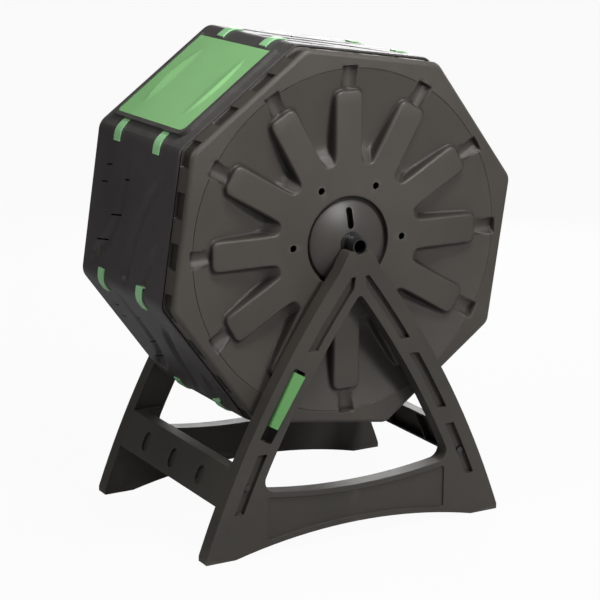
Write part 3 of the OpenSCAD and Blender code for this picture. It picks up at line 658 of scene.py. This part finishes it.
def end_panel_grid():
    angles = spoke_columns()
    rim = []
    for side in range(sides):
        middle = side_step * side - drum_turn
        for out, along, pocket in rim_columns():
            rim.append((atan2(along, out) + middle, Vector((out, along)), middle, pocket))
    count = len(angles)
    shift = min(range(count), key=lambda s: max(
        abs((rim[(i + s) % count][0] - angles[i] + pi) % (2 * pi) - pi) for i in range(count)))
    columns, shades = [], []
    for i, angle in enumerate(angles):
        column = [(-r * sin(angle), r * cos(angle), depth) for r, depth in face_section(angle)]
        _, spot, middle, pocket = rim[(i + shift) % count]
        outward = Vector((1, 0))
        if abs(spot.y) > corner_along:
            bend_middle = Vector((apothem - edge_radius, copysign(corner_along, spot.y)))
            outward = (spot - bend_middle).normalized()

        def edge(inset, depth):
            point = spot - outward * inset
            point.rotate(Matrix.Rotation(middle, 2))
            return (-point.y, point.x, depth)

        inner, outer = Vector(column[-1]), Vector(edge(edge_round, 0))
        column += [tuple(inner.lerp(outer, part)) for part in (0.25, 0.5, 0.75, 0.92)]
        for bend in (0, 22.5, 45, 67.5):
            turn = radians(bend)
            column.append(edge(edge_round * (1 - sin(turn)), edge_round * (1 - cos(turn))))
        # Painted shade for each point of the column: from recess_shade on the face, and full in the rim's
        # sunk pockets
        dark = recess_shade(angle) + [0.0] * (len(column) - len(recess_shade(angle)))
        for depth, sunk in rim_rings:
            column.append(edge(pocket_sink if sunk and pocket else 0, depth / 1000))
            dark.append(1.0 if sunk and pocket else 0.0)
        columns.append(column)
        shades.append(dark)
    return angles, columns, shades


def make_end_panel(name, node, rear):
    angles, columns, shade = end_panel_grid()
    count = len(columns)

    def place(i, j):
        x, z, depth = columns[i % count][j]
        return (x, depth - half_length, axle_height + z)

    bm, spots = shaped_grid(count + 1, len(columns[0]), place)
    # The painted shade goes into the "recess" attribute, which darkens the base colour
    recess = bm.verts.layers.float["recess"]
    for (i, j), spot in spots.items():
        spot[recess] = shade[i % count][j]
    # An air hole between every other pair of spokes' roots: a block of the grid is
    # drawn into a circle and what is inside it is taken out
    hole_radius, hole_ring, reach, first, last = 0.0068, 0.118, 6, 11, 19
    inside = []
    for spoke in range(1, spokes, 2):
        turn = radians(30 * spoke)
        middle = min(range(count), key=lambda i: abs(angles[i] - turn))
        centre = Vector((-hole_ring * sin(turn), -half_length, axle_height + hole_ring * cos(turn)))
        for i in range(middle - reach, middle + reach + 1):
            for j in range(first, last + 1):
                spot = spots[i, j]
                if i in (middle - reach, middle + reach) or j in (first, last):
                    spot.co = centre + (spot.co - centre).normalized() * hole_radius
                else:
                    inside.append(spot)
    bmesh.ops.delete(bm, geom=inside, context="VERTS")
    bmesh.ops.remove_doubles(bm, verts=bm.verts, dist=1e-6)
    if rear:
        bmesh.ops.scale(bm, vec=(1, -1, 1), verts=bm.verts)
    else:
        bmesh.ops.reverse_faces(bm, faces=bm.faces)
    bm.normal_update()
    bmesh.ops.solidify(bm, geom=bm.faces, thickness=0.0035)
    keep_piece(name, bm, panel_plastic, "drum", [node], 50)


make_end_panel("front_end_moulding", "front_end_panel", False)
make_end_panel("rear_end_moulding", "rear_end_panel", True)


# Side panels.
# Seven blow-moulded walls, each with three curved flutes that stiffen it and five
# slit vents. They lie round the end panels' rims and meet at the drum's long edges.
wall_plastic = moulded_plastic(
    "wall_plastic", (0.051, 0.045, 0.046), (0.064, 0.057, 0.058), (0.10, 0.093, 0.093),
    (0.36, 0.52), 700, 0.14)
wall_out, wall_round, wall_thick = 0.355, 0.031, 0.0035
wall_front, wall_rear, mitre_half = 0.152, -0.193, 0.0002
wall_corner = (wall_out - wall_round) * tan(side_step / 2)
# Each flute as its line's points (towards the rear, up the left side), half-width and depth, in mm
flutes = [
    ([(-96, 78), (-72, 58), (-44, 26), (-20, -20), (-4, -70), (7, -116)], 19, 8),
    ([(46, 116), (52, 66), (58, 20), (74, -26), (104, -66), (150, -104)], 19, 6),
    ([(-104, -48), (-84, -82), (-70, -118)], 16, 8),
]
slits = [(126, 75, 23), (138, 40, 27), (46, 58, 27), (75, -14, 39), (124, -70, 39)]
slit_width, slit_lean = 0.003, radians(8)


def on_side(k):
    """The frame of one side: x outwards, y anticlockwise along the side, z to the front."""
    axle = Matrix.Translation((0, 0, axle_height)) @ Matrix.Rotation(pi / 2, 4, "X")
    return axle @ Matrix.Rotation(pi / 2 - side_step * k - drum_turn, 4, "Z")


def rounded_line(points, count=14):
    """A smooth curve through the points, as evenly spaced short steps."""
    line = []
    ends = [points[0], *points, points[-1]]
    for a, b, c, d in zip(ends, ends[1:], ends[2:], ends[3:]):
        a, b, c, d = Vector(a), Vector(b), Vector(c), Vector(d)
        bend, twist = 2 * a - 5 * b + 4 * c - d, 3 * b - a - 3 * c + d
        for t in steps(0, 1, count)[:-1]:
            line.append(0.5 * (2 * b + (c - a) * t + bend * t**2 + twist * t**3))
    return line + [Vector(points[-1])]


flute_lines = [(rounded_line(points), half, depth) for points, half, depth in flutes]


def flute_sink(along, up):
    """How deep the flutes are at a point of the wall, in mm."""
    sink = 0
    for line, half, depth in flute_lines:
        near = min(range(len(line)), key=lambda n: (line[n].x - along) ** 2 + (line[n].y - up) ** 2)
        away = hypot(line[near].x - along, line[near].y - up)
        if away < half:
            run_in = smooth(0, 0.5, near / (len(line) - 1))
            sink = max(sink, depth * (0.2 + 0.8 * run_in) * (1 - smooth(half * 0.15, half, away)))
    return sink


def wall_section():
    """The wall's outer line seen along the axle, from edge to edge: point and outward direction."""
    turn_end = side_step / 2 - asin(mitre_half / wall_round)
    half = [((wall_out, y), (1, 0)) for y in steps(0, wall_corner, 44)]
    for turn in steps(0, turn_end, 5)[1:]:
        spot = (wall_out - wall_round + wall_round * cos(turn), wall_corner + wall_round * sin(turn))
        half.append((spot, (cos(turn), sin(turn))))
    return [((x, -y), (nx, -ny)) for (x, y), (nx, ny) in reversed(half[1:])] + half


def wall_shell():
    section = wall_section()
    lip = 0.003
    rows = [(wall_rear, 0)] + [(z, 0) for z in steps(wall_rear + 0.001, wall_front - lip, 112)]
    for turn in (radians(a) for a in (22.5, 45, 67.5, 90)):
        rows.append((wall_front - lip + lip * sin(turn), lip * (1 - cos(turn))))

    def place(i, j):
        (x, y), (nx, ny) = section[i]
        z, inset = rows[j]
        inset += flute_sink(-z * 1000, -y * 1000) / 1000
        return (x - nx * inset, y - ny * inset, z)

    bm, _ = shaped_grid(len(section), len(rows), place)
    bm.normal_update()
    bmesh.ops.solidify(bm, geom=bm.faces, thickness=wall_thick)
    return bm


def block(bm, centre, size, turn=0.0):
    """Adds a cutter's box in the side's frame, turned about the outward direction."""
    made = bmesh.ops.create_cube(bm, size=1)["verts"]
    bmesh.ops.scale(bm, vec=size, verts=made)
    bmesh.ops.rotate(bm, cent=(0, 0, 0), matrix=Matrix.Rotation(turn, 3, "X"), verts=made)
    bmesh.ops.translate(bm, vec=centre, verts=made)


wall = wall_shell()
cutter = bmesh.new()
for along, up, length in slits:
    block(cutter, (wall_out, -up / 1000, -along / 1000), (0.05, slit_width, length / 1000), slit_lean)
# The clips' hooks go through slots near both long edges
side_middle, hook_place, clip_place, hook_slot = -0.0205, 0.12455, 0.084, (0.03, 0.0036, 0.0256)
for s in (-1, 1):
    for z in (-clip_place, clip_place):
        block(cutter, (wall_out, s * hook_place, side_middle + z), hook_slot)
wall = carve(wall, cutter)
for k in range(7):
    copy = wall.copy()
    bmesh.ops.transform(copy, matrix=on_side(k), verts=copy.verts)
    keep_piece(f"side_wall_{k + 1}", copy, wall_plastic, "drum", [f"side_panel_{k + 1}"], 45)
wall.free()


# Door and its frame.
# The frame is the eighth wall, with an opening and a lipped rail on each side. The
# door is a thin green moulding with two raised swells that slides up under the lips.
frame_plastic = moulded_plastic(
    "frame_plastic", (0.042, 0.040, 0.038), (0.052, 0.049, 0.046), (0.11, 0.105, 0.10),
    (0.36, 0.50), 800, 0.12)
softened_copy("door_frame", "door_frame_wall", 0.0010, frame_plastic, "drum")
door_plastic = moulded_plastic(
    "door_plastic", (0.26, 0.56, 0.225), (0.30, 0.62, 0.26), (0.42, 0.72, 0.38), (0.36, 0.48), 1000, 0.07)
door_half, door_high, door_low, door_corner = 0.144, -0.11195, 0.11805, 0.018
door_out, door_thick, door_columns, door_rows = 0.3614, 0.0028, 145, 117
swell_place, swell_half, swell_bow, swell_rise = 0.092, 0.082, 0.015, 0.0048
swell_flank, swell_top, swell_fall = 0.011, 0.005, 0.034


def swell(across, down):
    """How far the door's skin is raised: each swell is steep on its outer, bowed side."""
    bow = 1 - (down / swell_half) ** 2
    if bow <= 0:
        return 0
    inward = swell_bow * bow - (abs(across) - swell_place)
    if inward <= 0:
        return 0
    fall = smooth(0, swell_fall * sqrt(bow), inward - swell_top)
    return swell_rise * bow * smooth(0, swell_flank, inward) * (1 - fall)


def door_skin(i, j):
    across = -door_half + 2 * door_half * i / (door_columns - 1)
    over = max(0, abs(across) - (door_half - door_corner))
    foot = door_low - door_corner + sqrt(door_corner**2 - over**2)
    down = door_high + (foot - door_high) * j / (door_rows - 1)
    return (door_out + swell(across, down), down, side_middle + across)


def make_door():
    bm, _ = shaped_grid(door_columns, door_rows, door_skin)
    bmesh.ops.reverse_faces(bm, faces=bm.faces)
    bm.normal_update()
    bmesh.ops.solidify(bm, geom=bm.faces, thickness=door_thick)
    crisp = [e for e in bm.edges if e.calc_face_angle(0) > radians(60)]
    bmesh.ops.bevel(bm, geom=crisp, offset=0.0008, offset_type="OFFSET", segments=2, profile=0.5,
                    affect="EDGES", clamp_overlap=True, material=-1)
    bmesh.ops.transform(bm, matrix=on_side(7), verts=bm.verts)
    keep_piece("sliding_door", bm, door_plastic, "door", ["door"], 40)


make_door()


# Clips.
# Sixteen green nylon clips, two over each long edge. A clip's hooks drop into slots
# in the two walls and hold them together.
clip_nylon = moulded_plastic(
    "clip_nylon", (0.32, 0.66, 0.32), (0.37, 0.73, 0.37), (0.46, 0.78, 0.44), (0.28, 0.40), 1300, 0.06)
for k in range(8):
    softened_copy(f"clip_pair_{k + 1}", f"edge_clips_{k + 1}", 0.0008, clip_nylon, "drum")


# Hubs, axle, washers and screws.
# A domed plastic hub sits in each end panel's recess, screwed on from behind, with
# a washer on its middle. The axle is a plated steel tube pinned through both hubs.
hub_plastic = moulded_plastic(
    "hub_plastic", (0.056, 0.051, 0.046), (0.070, 0.064, 0.057), (0.125, 0.118, 0.105),
    (0.36, 0.48), 900, 0.1)
hub_radius, hub_back, hub_edge, hub_top, boss_radius = 0.080, 0.181, 0.1865, 0.2047, 0.0218
dome_radius = (hub_radius**2 + (hub_top - hub_edge) ** 2) / (2 * (hub_top - hub_edge))


def dome(r):
    return hub_top - dome_radius + sqrt(dome_radius**2 - r * r)


def hub_section():
    """The hub's outer line as (radius, distance from the drum's middle), from its foot to its bore."""
    section = [(hub_radius, hub_back), (hub_radius, hub_edge - 0.0012)]
    section.append((hub_radius - 0.0003, hub_edge - 0.0003))
    section += [(r, dome(r)) for r in steps(hub_radius - 0.0012, boss_radius + 0.001, 16)]
    rise, bore = section[-1][1] - 0.0009, axle_seat + 0.0001
    return section + [(boss_radius, rise), (bore, rise), (bore, 0.150)]


def make_hub(name, node, rear):
    bm = bmesh.new()
    verts = [bm.verts.new((r, -out, 0)) for r, out in hub_section()]
    edges = [bm.edges.new(pair) for pair in zip(verts, verts[1:])]
    bmesh.ops.spin(bm, geom=verts + edges, cent=(0, 0, 0), axis=(0, 1, 0), dvec=(0, 0, 0),
                   angle=2 * pi, steps=144, use_merge=True)
    bmesh.ops.remove_doubles(bm, verts=bm.verts, dist=1e-6)
    bmesh.ops.recalc_face_normals(bm, faces=bm.faces)
    bm.normal_update()
    bmesh.ops.solidify(bm, geom=bm.faces, thickness=0.0024)
    bmesh.ops.translate(bm, vec=(0, 0, axle_height), verts=bm.verts)
    # The slot above the axle, with round ends and a rounded lip
    cutter = bmesh.new()
    half, low, high = 0.0065, 0.027, 0.067
    slot = [(half, low, half), (half, high, half), (-half, high, half), (-half, low, half)]
    prism(cutter, [(x, axle_height + z) for x, z in round_corners(slot, 6)], -0.19, -0.22)
    hub = carve(bm, cutter)
    lip = [e for e in hub.edges if len(e.link_faces) == 2 and e.calc_face_angle() > radians(50)
           and all(abs(v.co.x) < half + 1e-4 and v.co.z > axle_height + low - 0.001 for v in e.verts)]
    bmesh.ops.bevel(hub, geom=lip, offset=0.0011, offset_type="OFFSET", segments=2, profile=0.5,
                    affect="EDGES", clamp_overlap=True, material=-1)
    if rear:
        bmesh.ops.scale(hub, vec=(1, -1, 1), verts=hub.verts)
        bmesh.ops.reverse_faces(hub, faces=hub.faces)
    keep_piece(name, hub, hub_plastic, "drum", [node], 40)


make_hub("front_hub_dome", "front_hub", False)
make_hub("rear_hub_dome", "rear_hub", True)
for node in ("axle_tube", "front_hub_screws", "rear_hub_screws", "axle_pins", "front_washer", "rear_washer"):
    refinish(node, dull_zinc)
